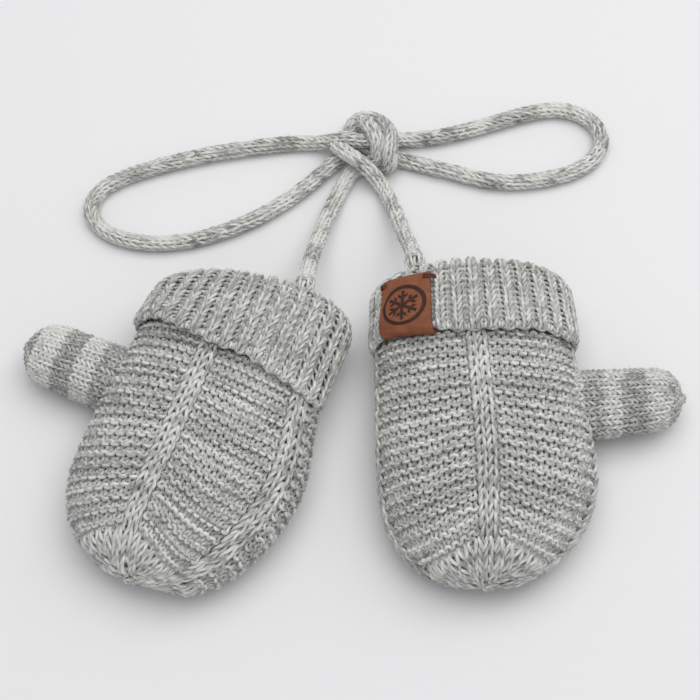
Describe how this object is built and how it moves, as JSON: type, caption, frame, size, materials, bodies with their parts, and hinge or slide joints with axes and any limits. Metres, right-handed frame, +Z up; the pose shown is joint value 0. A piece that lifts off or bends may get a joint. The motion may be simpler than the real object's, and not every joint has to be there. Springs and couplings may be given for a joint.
{
  "type": "knitted mitten pair",
  "caption": "Pair of lined child's knitted mittens with turned-back ribbed cuffs, joined by a knitted cord tied in a bow.",
  "frame": {"origin": "middle of the two mittens' outline, on the surface that they lie on; the cord and its bow are left out of that outline", "axes": "+X from the left mitten to the right one as seen from above, +Y from the finger tips towards the cuffs and the bow, +Z up"},
  "size_m": [0.2706, 0.2256, 0.044],
  "materials": {
    "knit": "matte",
    "yarn": "matte",
    "fleece": "matte",
    "label": "satin",
    "thread": "satin"
  },
  "bodies": {
    "cord": {"cord_left_tail": "knit", "cord_left_loop": "knit", "bow_knot": "knit", "cord_right_loop": "knit", "cord_right_tail": "knit", "right_cord_stitch": "yarn", "left_cord_stitch": "yarn"},
    "right_hand": {"right_shell": "knit", "right_lining": "fleece", "right_cuff": "knit", "right_tip_tie": "yarn", "label": "label", "label_stitch_left": "thread", "label_stitch_right": "thread"},
    "left_hand": {"left_shell": "knit", "left_lining": "fleece", "left_cuff": "knit", "left_tip_tie": "yarn"},
    "right_thumb_sleeve": {"right_thumb": "knit", "right_thumb_lining": "fleece", "right_thumb_tie": "yarn"},
    "left_thumb_sleeve": {"left_thumb": "knit", "left_thumb_lining": "fleece", "left_thumb_tie": "yarn"}
  },
  "joints": [
    {"name": "right_swing", "type": "hinge", "parent": "cord", "child": "right_hand", "pos_m": [0.0256, 0.0683, 0.0333], "axis": [0, 0, 1], "range_deg": [-4, 25]},
    {"name": "left_swing", "type": "hinge", "parent": "cord", "child": "left_hand", "pos_m": [-0.018, 0.0557, 0.0347], "axis": [0, 0, 1], "range_deg": [-12, 4]},
    {"name": "right_thumb_fold", "type": "hinge", "parent": "right_hand", "child": "right_thumb_sleeve", "pos_m": [0.0923, 0.012, 0.013], "axis": [0, 0, 1], "range_deg": [-20, 8]},
    {"name": "left_thumb_fold", "type": "hinge", "parent": "left_hand", "child": "left_thumb_sleeve", "pos_m": [-0.0947, 0.0229, 0.013], "axis": [0, 0, 1], "range_deg": [-8, 20]}
  ]
}
